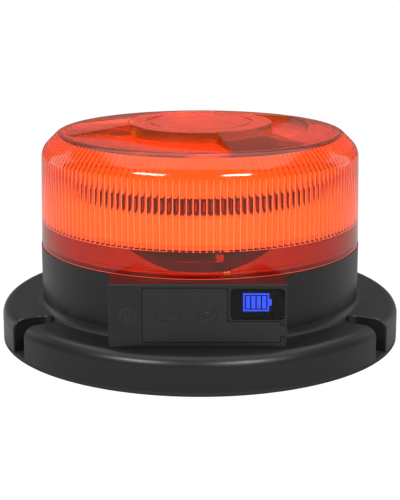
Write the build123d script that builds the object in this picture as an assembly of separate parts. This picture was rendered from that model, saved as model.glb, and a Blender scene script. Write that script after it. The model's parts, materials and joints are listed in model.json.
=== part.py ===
from build123d import *
from math import cos, hypot, radians, sin, sqrt
import os

# Rechargeable magnetic LED beacon. Millimetres, +Z up, the front panel faces -Y.
# The origin is the centre of the underside of the rubber pad.
# A bearing is an angle about +Z counted from the front (-Y) towards +X.

# ---- Overall form
BODY_R = 63.9  # drum of the housing
FLANGE_W = 16.1  # how far the mounting flange stands out of the drum
FLANGE_TOP = 14.3  # top of the flange
HOUSING_TOP = 37.8  # deck of the housing
LENS_H = 44.5  # lens from its rim to its flat top
CROWN_H = 3.4  # raised centre of the lens top
WALL = 2.5  # walls of the housing and of the lens
PANEL_OUT = 4.8  # how far the front panel stands out of the drum

# ---- Fits
FIT = 0.2  # gap all round a piece that drops into a recess
RUN = 0.08  # radial gap of a piece that slides or turns
SCREW_GAP = 0.05  # radial gap of a screw in its hole
LENS_GAP = 0.2  # lens rim above the deck
TOUCH = 0.05  # gap between round pieces that rest on each other

# ---- Pad, bottom cover and mounting slots
PAD_T = 1.5
COVER_T = 3.0
RIM_FILLET = 4.5  # upper edge of the flange
SLOT_FILLET = 0.6  # upper edges of the slots
FOOT_FILLET = 3.0  # where the drum meets the flange
SKIRT_T = 2.5
FLANGE_PLATE_T = 2.5
BOLT_IN = 10.0  # bolt centres, measured in from the rim
BOLT_HOLE_R = 3.25  # holes through the pad
SLOT_HALF_W = 5.0  # open slots in the flange
SLOT_WALL = 2.2
SLOT_BEARINGS = (60, 180, 300)
RIB_T = 1.8
RIB_COUNT = 12
GASKET_W = 1.4
GASKET_H = 1.0

# ---- Pot magnets
MAGNET_R = 16.0
MAGNET_H = 7.0
MAGNET_RING_R = 32.0  # magnet centres
MAGNET_RECESS = 0.1  # magnet faces above the underside of the pad
POT_WALL = 2.5
POT_BORE_R = 4.6
MAGNET_NUT_AF = 7.0
MAGNET_NUT_H = 2.2
MAGNET_SCREW_R = 1.95
MAGNET_BEARINGS = (60, 180, 300)

# ---- Screws that close the base
POST_R = 3.5
POST_IN = 9.0  # post centres, measured in from the outside of the drum
POST_BEARINGS = (30, 90, 150, 210, 270, 330)
COVER_SCREW_R = 1.25
COVER_SCREW_L = 9.0
COVER_SCREW_HEAD_R = 2.7
COVER_SCREW_HEAD_H = 1.7

# ---- Battery
CELL_R = 9.2
CELL_L = 65.0
CELL_COUNT = 4
CELL_PITCH = 18.5
TRAY_T = 1.4
TRAY_LIFT = 0.3  # tray above the magnet nuts
TAB_T = 0.3
TAB_W = 7.0
WIRE_R = 0.8
WIRE_DROP = 1.8  # wires below the deck

# ---- Front panel
PANEL_LEFT = -32.7
PANEL_RIGHT = 31.0
PANEL_SINK = 0.2  # lower edge of the panel, let into the flange
PANEL_WALL = 4.0
PANEL_EDGE = 0.4
RECESS = 2.0  # depth of the recess that the port flap lies in
SIDE_WALL = 4.0  # right side wall of the panel, which the strap wraps into
LEFT_WALL = 1.9
BUTTON_X = -25.8
BUTTON_Z = 26.1
BUTTON_R = 3.65
BUTTON_LIP = 1.1
BUTTON_TRAVEL = 0.5
FLAP_T = 1.8
FLAP_LEFT = -20.5
FLAP_BOTTOM = 16.5
FLAP_TOP = 36.3
HINGE_X = 9.7
TAIL_TOP = 24.0
STRAP_LEFT = 28.6
STRAP_BOTTOM = 18.6
STRAP_TOP = 22.6
STRAP_WRAP = 6.0
ANCHOR_R = 1.2
HINGE_GAP = 0.1
USB_X = -11.5
DC_X = 2.5
PORT_Z = 26.5
WINDOW_LEFT = 10.9
WINDOW_RIGHT = 30.1
WINDOW_BOTTOM = 24.75
WINDOW_TOP = 36.25
WINDOW_T = 1.1
CORNER_R = 1.5

# ---- Control board and what it carries
BOARD_T = 1.6
BOARD_BACK = 7.7  # from the back of the panel wall to the board
BOARD_POSTS = ((-19.5, 31.5), (-19.5, 20.0), (10.0, 20.5))
BOARD_POST_R = 2.8
BOARD_SCREW_R = 1.2
USB_HALF_W = 4.47
USB_HALF_H = 1.6
USB_SHELL_T = 0.3
PLUG_GAP = 0.35  # usb plug of the flap in its opening
DC_HOLE_R = 4.0
DC_PLUG_R = 3.4
DC_HALF_W = 4.5
DC_BORE_R = 2.85
DC_PIN_R = 1.05
SWITCH_W = 6.0
SWITCH_H = 3.5
PLUNGER_R = 1.75
DISPLAY_X = (14.4, 26.4)
DISPLAY_Z = (26.5, 34.5)
GAUGE_X = (15.35, 24.6)
GAUGE_Z = (27.5, 34.1)
GAUGE_NUB = (0.9, 2.4)
GAUGE_LINE = 0.55
GAUGE_BARS = 4
GAUGE_T = 0.35

# ---- Neck that carries the lens
NECK_IN = 4.7  # outside of the neck, measured in from the outside of the drum
NECK_T = 2.2
NECK_H = 9.7
FACET_LOW = 1.6  # start of the flat facet on the front of the neck, above the deck
FACET_SLOPE = 1.34  # rise of the facet for each millimetre in
NECK_PAD_Y = 50.0  # inner face of the thick stretch behind the facet
LUG_BEARING = (5.7, 8.0)
LUG_Z = (6.5, 8.9)  # lug above the deck
LUG_GAP = 0.3
SEAL_R = 0.75
SEAL_Z = 1.6

# ---- Lens
LENS_STEP = 0.2  # foot of the lens, set back from the drum
LENS_DRAFT = 0.6  # taper of the lens wall from its foot to its shoulder
LENS_CHAMFER = 6.7
LENS_TOP_FILLET = 4.3
LENS_SIDE_FILLET = 7.0
CLEAR_H = 9.8  # plain band below the flutes
FLUTE_COUNT = 160
FLUTE_DEPTH = 0.5
CROWN_R = 28.8
RAMP_R = 53.6
RAMP_BEARINGS = (12.5, 48.0)
LOCK_PAD = (-10.7, 13.2)
LOCK_PAD_T = 0.6
RIB_IN = 1.3
STOP_RIB = (-8.4, -0.3)
LOCK_RIB = (2.6, 10.3)
LOCK_WALL = (8.1, 10.3)
RIB_Z = (3.3, 6.1)  # ribs above the lens rim
THIRDS = (0, 120, 240)

# ---- Light engine
LED_DROP = 1.7  # light centre below the middle of the fluted band
LED_BAND = 3.2  # half the height of the dark band between the reflectors
CORE_R = 36.3
CORE_BORE = 30.0
FOOT_R = 34.0
FOOT_T = 2.5
COLUMN_R = 20.0
COLUMN_T = 2.5
PLATE_R = 41.0
PLATE_T = 2.0
FOOT_SCREW_R = 29.0
BOARD_RING_T = 1.6
LED_COUNT = 24
LED_SIZE = 3.5
LED_OUT = 1.9
MIRROR_GAP = 2.4  # rims of the reflectors, measured in from the fluted wall
MIRROR_IN = 42.5
MIRROR_T = 1.5
MIRROR_SKIN = 1.8
GROMMET_R = 5.9
GROMMET_BORE = 4.5
GROMMET_LIP = 1.5

# ---- Derived levels and radii
BASE_R = BODY_R + FLANGE_W
BOLT_R = BASE_R - BOLT_IN
COVER_TOP = PAD_T + COVER_T
COVER_R = BASE_R - SKIRT_T - FIT
DRUM_IN = BODY_R - WALL
DECK_T = WALL
DECK_UNDER = HOUSING_TOP - DECK_T
POST_RING = BODY_R - POST_IN
FACE_Y = -(BODY_R + PANEL_OUT)
PANEL_BOTTOM = FLANGE_TOP - PANEL_SINK
RECESS_Y = FACE_Y + RECESS
PANEL_IN_Y = FACE_Y + PANEL_WALL
BOARD_Y = PANEL_IN_Y + BOARD_BACK
POT_TOP = MAGNET_RECESS + MAGNET_H
POT_SEAT_T = 2.0
NUT_Z = POT_TOP + POT_SEAT_T
TRAY_Z = NUT_Z + MAGNET_NUT_H + TRAY_LIFT
CELL_Z = TRAY_Z + TRAY_T + TOUCH + CELL_R
CELL_TOP = CELL_Z + CELL_R
PACK_X = (CELL_COUNT - 1) / 2 * CELL_PITCH + CELL_R
PACK_Y = CELL_L / 2
NECK_R = BODY_R - NECK_IN
LENS_Z = HOUSING_TOP + LENS_GAP
LENS_TOP = LENS_Z + LENS_H
LENS_IN = BODY_R - WALL
LENS_FOOT = BODY_R - LENS_STEP
SHOULDER_R = LENS_FOOT - LENS_DRAFT
MIRROR_R = LENS_IN - MIRROR_GAP
FLUTE_Z = LENS_Z + CLEAR_H
CEILING = LENS_TOP - WALL
# The chamfer inside runs parallel to the one outside, one wall away.
CHAMFER_SUM = SHOULDER_R + LENS_TOP - LENS_CHAMFER - WALL * sqrt(2)
FLUTE_TOP = CHAMFER_SUM - LENS_IN
LED_Z = (FLUTE_Z + FLUTE_TOP) / 2 - LED_DROP
PLATE_TOP = LED_Z - LED_BAND - MIRROR_T - 0.5
CORE_TOP = LED_Z + LED_BAND + 1.6


# ---------------------------------------------------------------- helpers
def turned(shape, bearing):
    """A shape drawn out along +X, turned to a bearing."""
    return Rot(0, 0, bearing - 90) * shape


def polar(radius, bearing):
    """The x and y of a point at a radius and a bearing."""
    angle = radians(bearing - 90)
    return radius * cos(angle), radius * sin(angle)


def rod(radius, z0, z1, at=(0, 0)):
    """An upright cylinder between two heights."""
    return Pos(at[0], at[1], (z0 + z1) / 2) * Cylinder(radius, z1 - z0)


def pin_y(radius, y0, y1, x, z):
    """A cylinder that lies along Y."""
    return Pos(x, (y0 + y1) / 2, z) * Rot(90, 0, 0) * Cylinder(radius, y1 - y0)


def block(x, y, z):
    """A box between a low and a high value on each axis."""
    size = Box(x[1] - x[0], y[1] - y[0], z[1] - z[0])
    return Pos(sum(x) / 2, sum(y) / 2, sum(z) / 2) * size


def turned_profile(points, radii=None, arc=360):
    """A closed outline of (radius, height) points, turned about +Z."""
    corners = [(r, 0, z) for r, z in points]
    if radii is None:
        outline = Polyline(*corners, close=True)
    else:
        outline = FilletPolyline(*corners, radius=radii, close=True)
    return revolve(make_face(outline), Axis.Z, arc)


def sector(r, z, bearings):
    """A block of a ring: radii, heights and bearings as low and high pairs."""
    corners = [(r[0], z[0]), (r[1], z[0]), (r[1], z[1]), (r[0], z[1])]
    ring = turned_profile(corners, arc=bearings[1] - bearings[0])
    return turned(ring, bearings[0])


def front_plate(face, y0, y1):
    """A flat face drawn in X and Z, made solid between two depths."""
    return Pos(0, y1, 0) * extrude(Plane.XZ * face, y1 - y0)


def rounded(x, z, radius):
    """A rounded rectangle between low and high values, drawn in X and Z."""
    size = RectangleRounded(x[1] - x[0], z[1] - z[0], radius)
    return Pos(sum(x) / 2, sum(z) / 2) * size


def group(shapes):
    """Separate solids that share one node."""
    return Compound(children=[s for shape in shapes for s in shape.solids()])


def screw(head_r, head_h, shank_r, length):
    """A screw that stands on its head: head below z = 0, shank above, hex socket below."""
    head = rod(head_r, -head_h, 0)
    socket = Pos(0, 0, -head_h) * extrude(RegularPolygon(head_r * 0.5, 6), head_h * 0.55)
    return head - socket + rod(shank_r, 0, length)


def wire(points, radii):
    """A round wire along straight runs joined by arcs."""
    path = FilletPolyline(*points, radius=radii)
    section = Plane(origin=path @ 0, z_dir=path % 0) * Circle(WIRE_R)
    print("wire", round(path.length, 1), "mm, bends", radii)
    return sweep(section, path=path)


# ---------------------------------------------------------------- base
def slot(half_w, z0, z1):
    """The space of one open mounting slot, drawn along +X."""
    far = BASE_R + 5
    end = rod(half_w, z0, z1, (BOLT_R, 0))
    return end + block((BOLT_R, far), (-half_w, half_w), (z0, z1))


def slot_rims(body):
    """The edges where the walls of the slots meet the top and the rim of the flange."""
    rims = []
    for bearing in SLOT_BEARINGS:
        angle = radians(bearing)
        out = Vector(sin(angle), -cos(angle))
        side = Vector(cos(angle), sin(angle))
        for edge in body.edges():
            ends = [edge @ share for share in (0, 0.5, 1)]
            walls = [hypot(min(p.dot(out) - BOLT_R, 0), p.dot(side)) - SLOT_HALF_W for p in ends]
            on_wall = max(abs(gap) for gap in walls) < 0.01
            ahead = min(p.dot(out) for p in ends) > BOLT_R - SLOT_HALF_W - 0.1
            high = ends[1].Z > (PAD_T + FLANGE_TOP) / 2 - 2
            seam = (ends[0] - ends[2]).length > 3 and hypot(ends[1].X, ends[1].Y) < BASE_R - 0.1
            upright = abs(ends[0].X - ends[2].X) + abs(ends[0].Y - ends[2].Y) < 0.01
            if on_wall and ahead and high and not (seam and upright):
                rims.append(edge)
    return rims


def rubber_base_pad():
    pad = rod(BASE_R, 0, PAD_T)
    for bearing in SLOT_BEARINGS:
        pad -= rod(BOLT_HOLE_R, 0, PAD_T, polar(BOLT_R, bearing))
    for bearing in MAGNET_BEARINGS:
        pad -= rod(MAGNET_R + 2 * FIT, 0, PAD_T, polar(MAGNET_RING_R, bearing))
    for bearing in POST_BEARINGS:
        pad -= rod(COVER_SCREW_HEAD_R + 2 * FIT, 0, PAD_T, polar(POST_RING, bearing))
    return pad


def bottom_cover():
    cover = rod(COVER_R, PAD_T, COVER_TOP)
    for bearing in MAGNET_BEARINGS:
        at = polar(MAGNET_RING_R, bearing)
        cover += rod(MAGNET_R + FIT + 2, COVER_TOP, NUT_Z, at)
        cover += rod(MAGNET_NUT_AF * 0.85, NUT_Z, NUT_Z + MAGNET_NUT_H / 2, at)
    for bearing in THIRDS:
        at = polar(MAGNET_RING_R, bearing)
        cover += rod(POST_R, COVER_TOP, TRAY_Z, at)
        cover += rod(POST_R / 2, TRAY_Z, TRAY_Z + TRAY_T, at)
    cover += rod(POST_R, COVER_TOP, TRAY_Z)
    for bearing in MAGNET_BEARINGS:
        at = polar(MAGNET_RING_R, bearing)
        cover -= rod(MAGNET_R + FIT, PAD_T, POT_TOP, at)
        cover -= rod(MAGNET_SCREW_R + FIT, POT_TOP, NUT_Z, at)
        pocket = RegularPolygon(MAGNET_NUT_AF / 2 + SCREW_GAP, 6, major_radius=False)
        cover -= Pos(*at, NUT_Z) * extrude(pocket, MAGNET_NUT_H)
    for bearing in SLOT_BEARINGS:
        cover -= turned(slot(SLOT_HALF_W + SLOT_WALL + FIT, PAD_T, COVER_TOP), bearing)
    for bearing in POST_BEARINGS:
        at = polar(POST_RING, bearing)
        cover -= rod(COVER_SCREW_HEAD_R + FIT, PAD_T, PAD_T + COVER_SCREW_HEAD_H, at)
        cover -= rod(COVER_SCREW_R + FIT, PAD_T, COVER_TOP, at)
    return cover


def bottom_cover_screws():
    one = screw(COVER_SCREW_HEAD_R, COVER_SCREW_HEAD_H, COVER_SCREW_R, COVER_SCREW_L)
    seat = PAD_T + COVER_SCREW_HEAD_H
    return group([Pos(*polar(POST_RING, b), seat) * one for b in POST_BEARINGS])


def gasket_ring(z1, grow):
    middle = BODY_R - WALL / 2
    half = GASKET_W / 2 + grow
    return rod(middle + half, COVER_TOP, z1) - rod(middle - half, COVER_TOP, z1)


def magnet_parts():
    """Steel pots, ring magnets, screws and nuts of the three pot magnets."""
    roof = POT_TOP - POT_WALL
    pot = rod(MAGNET_R, MAGNET_RECESS, POT_TOP)
    pot -= rod(MAGNET_R - POT_WALL, MAGNET_RECESS, roof)
    pot -= rod(MAGNET_SCREW_R + FIT, roof, POT_TOP)
    disc = rod(MAGNET_R - POT_WALL - FIT, MAGNET_RECESS + FIT, roof)
    disc -= rod(POT_BORE_R, MAGNET_RECESS + FIT, roof)
    reach = NUT_Z + MAGNET_NUT_H - roof
    bolt = Pos(0, 0, roof) * screw(POT_BORE_R - 2 * FIT, 2.6, MAGNET_SCREW_R, reach)
    hexagon = RegularPolygon(MAGNET_NUT_AF / 2, 6, major_radius=False)
    nut = Pos(0, 0, NUT_Z) * extrude(hexagon, MAGNET_NUT_H)
    nut -= rod(MAGNET_SCREW_R + SCREW_GAP, NUT_Z, NUT_Z + MAGNET_NUT_H)
    places = [Pos(*polar(MAGNET_RING_R, b), 0) for b in MAGNET_BEARINGS]
    made = {"magnet_cups": pot, "magnet_discs": disc, "magnet_screws": bolt}
    made["magnet_nuts"] = nut
    return {name: group([p * shape for p in places]) for name, shape in made.items()}


# ---------------------------------------------------------------- housing
def flap_outline(grow):
    """The flap with its tail and strap, as one outline in X and Z, grown all round."""
    g = grow
    corners = [
        (FLAP_LEFT - g, FLAP_BOTTOM - g),
        (STRAP_LEFT + g, FLAP_BOTTOM - g),
        (STRAP_LEFT + g, STRAP_BOTTOM - g),
        (PANEL_RIGHT + 1, STRAP_BOTTOM - g),
        (PANEL_RIGHT + 1, STRAP_TOP + g),
        (STRAP_LEFT + g, STRAP_TOP + g),
        (STRAP_LEFT + g, TAIL_TOP + g),
        (HINGE_X + g, TAIL_TOP + g),
        (HINGE_X + g, FLAP_TOP + g),
        (FLAP_LEFT - g, FLAP_TOP + g),
    ]
    radii = [0.8, 0.6, 0.4, 0, 0, 0.4, 0.6, 0.8, 0.8, 0.8]
    return make_face(FilletPolyline(*corners, radius=radii, close=True))


def housing_outside():
    """Flange, drum and front panel as one solid lump."""
    corners = [
        (0, PAD_T),
        (BASE_R, PAD_T),
        (BASE_R, FLANGE_TOP),
        (BODY_R, FLANGE_TOP),
        (BODY_R, HOUSING_TOP),
        (0, HOUSING_TOP),
    ]
    lump = turned_profile(corners, [0, 0, RIM_FILLET, FOOT_FILLET, 0, 0])
    depth = (FACE_Y, -(BODY_R - 12))
    panel = block((PANEL_LEFT, PANEL_RIGHT), depth, (PANEL_BOTTOM, HOUSING_TOP))
    front = panel.faces().sort_by(Axis.Y)[0]
    return lump + chamfer(front.edges(), PANEL_EDGE)


def housing_hollows(body):
    """Everything that is cut out of the lump from below and behind the panel."""
    skirt_in = BASE_R - SKIRT_T
    plate_under = FLANGE_TOP - FLANGE_PLATE_T
    hollow = rod(skirt_in, PAD_T, COVER_TOP)
    hollow += rod(skirt_in, COVER_TOP, plate_under) - rod(BODY_R, COVER_TOP, plate_under)
    for index in range(RIB_COUNT):
        bearing = (index + 0.5) * 360 / RIB_COUNT
        reach = (BODY_R - 1, skirt_in + 1)
        rib = block(reach, (-RIB_T / 2, RIB_T / 2), (COVER_TOP, plate_under))
        hollow -= turned(rib, bearing)
    for bearing in SLOT_BEARINGS:
        hollow -= turned(slot(SLOT_HALF_W + SLOT_WALL, PAD_T, plate_under), bearing)
    body -= hollow
    for bearing in SLOT_BEARINGS:
        body -= turned(slot(SLOT_HALF_W, 0, HOUSING_TOP - 1), bearing)
    body = fillet(slot_rims(body), SLOT_FILLET)
    body -= rod(DRUM_IN, PAD_T, DECK_UNDER)
    body -= gasket_ring(COVER_TOP + GASKET_H + FIT, FIT / 2)
    inside = (PANEL_LEFT + LEFT_WALL, PANEL_RIGHT - SIDE_WALL)
    low = PANEL_BOTTOM + WALL
    return body - block(inside, (PANEL_IN_Y, -(BODY_R - 14)), (low, DECK_UNDER))


def housing_panel(body):
    """Openings and recesses of the front panel, and the posts of the control board."""
    body -= front_plate(flap_outline(FIT), FACE_Y - 1, RECESS_Y)
    side = (PANEL_RIGHT - RECESS, PANEL_RIGHT + 1)
    wrap = (FACE_Y - 1, FACE_Y + STRAP_WRAP + FIT)
    body -= block(side, wrap, (STRAP_BOTTOM - FIT, STRAP_TOP + FIT))
    anchor_y = FACE_Y + STRAP_WRAP - 2
    hole = Cylinder(ANCHOR_R + TOUCH, 2 * SIDE_WALL)
    anchor_z = (STRAP_BOTTOM + STRAP_TOP) / 2
    body -= Pos(PANEL_RIGHT - SIDE_WALL, anchor_y, anchor_z) * Rot(0, 90, 0) * hole
    body -= pin_y(BUTTON_R + RUN, FACE_Y - 1, PANEL_IN_Y, BUTTON_X, BUTTON_Z)
    half_w = USB_HALF_W + PLUG_GAP
    half_h = USB_HALF_H + PLUG_GAP
    mouth = rounded((USB_X - half_w, USB_X + half_w), (PORT_Z - half_h, PORT_Z + half_h), half_h - 0.1)
    body -= front_plate(mouth, RECESS_Y - 1, PANEL_IN_Y)
    body -= pin_y(DC_HOLE_R, RECESS_Y - 1, PANEL_IN_Y, DC_X, PORT_Z)
    pane = rounded((WINDOW_LEFT, WINDOW_RIGHT), (WINDOW_BOTTOM, WINDOW_TOP), CORNER_R)
    body -= front_plate(pane, FACE_Y - 1, FACE_Y + WINDOW_T + TOUCH)
    wide = (DISPLAY_X[0] - FIT, DISPLAY_X[1] + FIT)
    tall = (DISPLAY_Z[0] - FIT, DISPLAY_Z[1] + FIT)
    body -= block(wide, (FACE_Y, PANEL_IN_Y), tall)
    for x, z in BOARD_POSTS:
        body += pin_y(BOARD_POST_R, PANEL_IN_Y, BOARD_Y, x, z)
        body -= pin_y(BOARD_SCREW_R + SCREW_GAP, PANEL_IN_Y + 1, BOARD_Y, x, z)
    return body


def housing_posts(body):
    """Posts for the cover screws, each tied to the drum wall by a rib."""
    for bearing in POST_BEARINGS:
        at = polar(POST_RING, bearing)
        post = rod(POST_R, COVER_TOP, DECK_UNDER, at)
        tie = block((POST_RING, DRUM_IN + 0.2), (-RIB_T / 2, RIB_T / 2), (COVER_TOP, DECK_UNDER))
        post += turned(tie, bearing)
        post -= rod(COVER_SCREW_R + SCREW_GAP, COVER_TOP, COVER_TOP + COVER_SCREW_L, at)
        body += post
    return body


def housing_neck(body):
    """Neck with its seal groove, its twist-lock lugs and the flat facet at the front."""
    top = HOUSING_TOP + NECK_H
    neck = rod(NECK_R, HOUSING_TOP, top) - rod(NECK_R - NECK_T, HOUSING_TOP, top)
    chord = block((-NECK_R, NECK_R), (-NECK_R, -NECK_PAD_Y), (HOUSING_TOP, top))
    neck += chord & rod(NECK_R, HOUSING_TOP, top)
    low = HOUSING_TOP + FACET_LOW
    rise = top - low + 1
    wedge = Polygon((-NECK_R - 1, low), (-NECK_R, low), (-NECK_R + rise / FACET_SLOPE, low + rise),
                    (-NECK_R - 1, low + rise), align=None)
    neck -= extrude(Plane.YZ * wedge, NECK_R, both=True)
    groove_z = HOUSING_TOP + SEAL_Z
    groove = (NECK_R - LUG_GAP, NECK_R + 1)
    neck -= sector(groove, (groove_z - SEAL_R - TOUCH, groove_z + SEAL_R + TOUCH), (0, 360))
    lug_out = LENS_IN - LOCK_PAD_T - LUG_GAP
    for turn in THIRDS:
        bearings = (LUG_BEARING[0] + turn, LUG_BEARING[1] + turn)
        heights = (HOUSING_TOP + LUG_Z[0], HOUSING_TOP + LUG_Z[1])
        # The front lug stands out of the facet, so its root lies further in.
        root = NECK_PAD_Y + 1 if turn == 0 else NECK_R - NECK_T / 2
        neck += sector((root, lug_out), heights, bearings)
    body += neck
    body -= rod(GROMMET_R + TOUCH, DECK_UNDER, HOUSING_TOP)
    for turn in THIRDS:
        at = polar(FOOT_SCREW_R, turn + 30)
        body -= rod(COVER_SCREW_R + SCREW_GAP, DECK_UNDER, HOUSING_TOP, at)
    return body


def base_housing():
    body = housing_hollows(housing_outside())
    return housing_neck(housing_posts(housing_panel(body)))


def lens_seal():
    across = NECK_R - LUG_GAP + TOUCH + SEAL_R
    return Pos(0, 0, HOUSING_TOP + SEAL_Z) * Torus(across, SEAL_R)


# ---------------------------------------------------------------- battery
def cell_x():
    return [(i - (CELL_COUNT - 1) / 2) * CELL_PITCH for i in range(CELL_COUNT)]


def battery_cells():
    cells = []
    for index, x in enumerate(cell_x()):
        cell = pin_y(CELL_R, -PACK_Y + 1, PACK_Y, x, CELL_Z)
        cells.append(cell + pin_y(CELL_R / 3, -PACK_Y, -PACK_Y + 1, x, CELL_Z))
    return group(cells)


def battery_tray():
    gap = TAB_T + 2 * FIT
    out_x = PACK_X + FIT + TRAY_T
    out_y = PACK_Y + gap + TRAY_T
    tall = (TRAY_Z, CELL_Z)
    tray = block((-out_x, out_x), (-out_y, out_y), tall)
    tray -= block((-PACK_X - FIT, PACK_X + FIT), (-PACK_Y - gap, PACK_Y + gap), (TRAY_Z + TRAY_T, CELL_Z))
    tray -= block((-CELL_R, CELL_R), (-out_y, out_y), (TRAY_Z + TRAY_T, CELL_Z))
    for bearing in THIRDS:
        at = polar(MAGNET_RING_R, bearing)
        tray -= rod(POST_R / 2 + FIT, TRAY_Z, TRAY_Z + TRAY_T, at)
    return tray


def battery_tabs():
    half = PACK_X - CELL_R + TAB_W / 2
    tall = (CELL_Z - TAB_W / 2, CELL_Z + TAB_W / 2)
    ends = ((-PACK_Y - TAB_T, -PACK_Y), (PACK_Y, PACK_Y + TAB_T))
    return group([block((-half, half), end, tall) for end in ends])


def battery_foam():
    heights = (CELL_TOP + TOUCH, DECK_UNDER)
    sides = ((-PACK_X, -CELL_R), (CELL_R, PACK_X))
    return group([block(side, (-PACK_Y, PACK_Y), heights) for side in sides])


def leads():
    """The battery leads and the leads of the light, from the header on the board."""
    high = DECK_UNDER - WIRE_DROP
    header = BOARD_Y + BOARD_T + 4.8
    z = PORT_Z
    near = header + 6
    tab = PACK_Y + TAB_T
    plus = [(5, header, z), (5, near, z), (5, -tab - 5, CELL_Z), (5, -tab, CELL_Z)]
    minus = [(-5, header, z), (-5, near, z), (-5, -tab - 4, high), (-5, tab + 5, high)]
    minus += [(-5, tab + 5, CELL_Z), (-5, tab, CELL_Z)]
    battery = [wire(plus, [4, 4]), wire(minus, [4, 4, 2.2, 2.2])]
    light = []
    for x in (-1.5, 1.5):
        run = [(x, header, z), (x, near, z), (x, -tab - 4, high), (x, 0, high)]
        run += [(x, 0, LED_Z), (x, sqrt(CORE_BORE**2 - 4) - TOUCH, LED_Z)]
        light.append(wire(run, [4, 4, 5, 8]))
    return {"battery_leads": group(battery), "light_leads": group(light)}


# ---------------------------------------------------------------- control board
def control_board():
    wide = (PANEL_LEFT + LEFT_WALL + 0.5, PANEL_RIGHT - SIDE_WALL - 0.5)
    tall = (PANEL_BOTTOM + WALL + 0.5, DECK_UNDER - 0.5)
    board = block(wide, (BOARD_Y, BOARD_Y + BOARD_T), tall)
    for x, z in BOARD_POSTS:
        board -= pin_y(BOARD_SCREW_R + FIT, BOARD_Y, BOARD_Y + BOARD_T, x, z)
    return board


def board_screws():
    one = screw(2.2, 1.5, BOARD_SCREW_R, BOARD_T + 5)
    back = BOARD_Y + BOARD_T
    return group([Pos(x, back, z) * Rot(90, 0, 0) * one for x, z in BOARD_POSTS])


def board_components():
    """Header, controller, coil and capacitors on the back of the board."""
    back = BOARD_Y + BOARD_T
    header = block((-8, 8), (back, back + 4.8), (PORT_Z - 3.5, PORT_Z + 3.5))
    chip = block((-17, -10), (back, back + 1.0), (PORT_Z - 4, PORT_Z + 3))
    coil = block((13, 19), (back, back + 3.2), (PORT_Z, PORT_Z + 6))
    caps = [pin_y(1.8, back, back + 3.8, x, PORT_Z - 6.5) for x in (-12, -6, 0)]
    return group([header, chip, coil, *caps])


def usb_outline(shrink):
    half_w = USB_HALF_W - shrink
    half_h = USB_HALF_H - shrink
    return rounded((USB_X - half_w, USB_X + half_w), (PORT_Z - half_h, PORT_Z + half_h), half_h - 0.1)


def usb_c_shell():
    front = PANEL_IN_Y + 0.1
    shell = front_plate(usb_outline(0), front, BOARD_Y)
    return shell - front_plate(usb_outline(USB_SHELL_T), front, BOARD_Y)


def usb_c_tongue():
    root = front_plate(usb_outline(USB_SHELL_T + TOUCH), BOARD_Y - 1.2, BOARD_Y)
    tongue = (USB_X - 3.35, USB_X + 3.35)
    return root + block(tongue, (PANEL_IN_Y + 0.8, BOARD_Y - 1.2), (PORT_Z - 0.35, PORT_Z + 0.35))


def dc_jack_body():
    wide = (DC_X - DC_HALF_W, DC_X + DC_HALF_W)
    tall = (PORT_Z - DC_HALF_W, PORT_Z + DC_HALF_W)
    body = block(wide, (PANEL_IN_Y + 0.1, BOARD_Y), tall)
    return body - pin_y(DC_BORE_R, PANEL_IN_Y + 0.1, BOARD_Y - 1.5, DC_X, PORT_Z)


def dc_jack_pin():
    return pin_y(DC_PIN_R, PANEL_IN_Y + 0.8, BOARD_Y - 1.5, DC_X, PORT_Z)


def switch_parts():
    """Tact switch, its plunger and the button that presses it."""
    half = SWITCH_W / 2
    front = BOARD_Y - SWITCH_H
    wide = (BUTTON_X - half, BUTTON_X + half)
    body = block(wide, (front, BOARD_Y), (BUTTON_Z - half, BUTTON_Z + half))
    body -= pin_y(PLUNGER_R + RUN, front, front + 1.5, BUTTON_X, BUTTON_Z)
    lip_back = PANEL_IN_Y + 0.1 + BUTTON_LIP
    tail_back = lip_back + 0.6
    deepest = front + 1.5 - BUTTON_TRAVEL - 0.1
    plunger = pin_y(PLUNGER_R, tail_back + TOUCH, deepest, BUTTON_X, BUTTON_Z)
    button = pin_y(BUTTON_R, FACE_Y, lip_back, BUTTON_X, BUTTON_Z)
    button += pin_y(BUTTON_R + BUTTON_LIP, PANEL_IN_Y + 0.1, lip_back, BUTTON_X, BUTTON_Z)
    button += pin_y(2.0, lip_back, tail_back, BUTTON_X, BUTTON_Z)
    return {"tact_switch": body, "tact_plunger": plunger, "power_button": button}


def gauge_parts():
    """Lit charge gauge: module on the board, glowing battery sign and the pane over it."""
    face = FACE_Y + WINDOW_T + 0.25 + GAUGE_T
    module = block(DISPLAY_X, (face, BOARD_Y), DISPLAY_Z)
    line = GAUGE_LINE
    depth = (face - GAUGE_T, face)
    middle = sum(GAUGE_Z) / 2
    sign = block(GAUGE_X, depth, GAUGE_Z)
    sign -= block((GAUGE_X[0] + line, GAUGE_X[1] - line), depth, (GAUGE_Z[0] + line, GAUGE_Z[1] - line))
    nub = (middle - GAUGE_NUB[1] / 2, middle + GAUGE_NUB[1] / 2)
    sign += block((GAUGE_X[1], GAUGE_X[1] + GAUGE_NUB[0]), depth, nub)
    room = GAUGE_X[1] - GAUGE_X[0] - 2 * line
    gap = line * 0.9
    width = (room - gap * (GAUGE_BARS + 1)) / GAUGE_BARS
    bars = []
    for index in range(GAUGE_BARS):
        left = GAUGE_X[0] + line + gap + index * (width + gap)
        bars.append(block((left, left + width), depth, (GAUGE_Z[0] + line + gap, GAUGE_Z[1] - line - gap)))
    edge = 0.1
    pane = rounded((WINDOW_LEFT + edge, WINDOW_RIGHT - edge),
                   (WINDOW_BOTTOM + edge, WINDOW_TOP - edge), CORNER_R - edge)
    window = front_plate(pane, FACE_Y, FACE_Y + WINDOW_T)
    return {"gauge_module": module, "gauge_sign": group([sign, *bars]), "gauge_window": window}


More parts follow.
